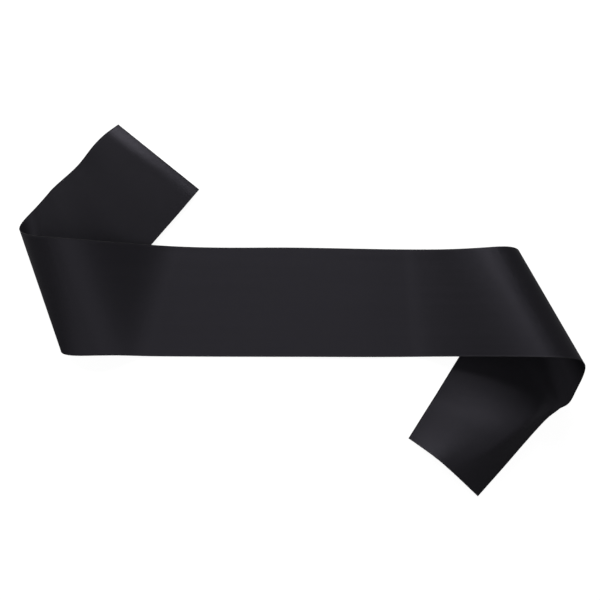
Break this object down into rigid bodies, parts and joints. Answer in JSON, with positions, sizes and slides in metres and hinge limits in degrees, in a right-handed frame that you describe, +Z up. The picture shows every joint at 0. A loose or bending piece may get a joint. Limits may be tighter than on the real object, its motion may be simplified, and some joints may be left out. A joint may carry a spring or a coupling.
{
  "type": "satin sash",
  "caption": "Black satin ribbon sash lying on a table, its middle flat and face up, its square-cut ends rolled under and out to the sides as short tails.",
  "frame": {"origin": "middle of the flat band's underside, on the table", "axes": "+X along the middle band, +Y to the band's back edge, +Z up from the table"},
  "size_m": [0.4896, 0.328, 0.0505],
  "materials": {
    "black_satin": "satin"
  },
  "bodies": {
    "root": {"left_tail": "black_satin", "left_fold": "black_satin", "front_band": "black_satin", "right_fold": "black_satin", "right_tail": "black_satin"}
  },
  "joints": []
}
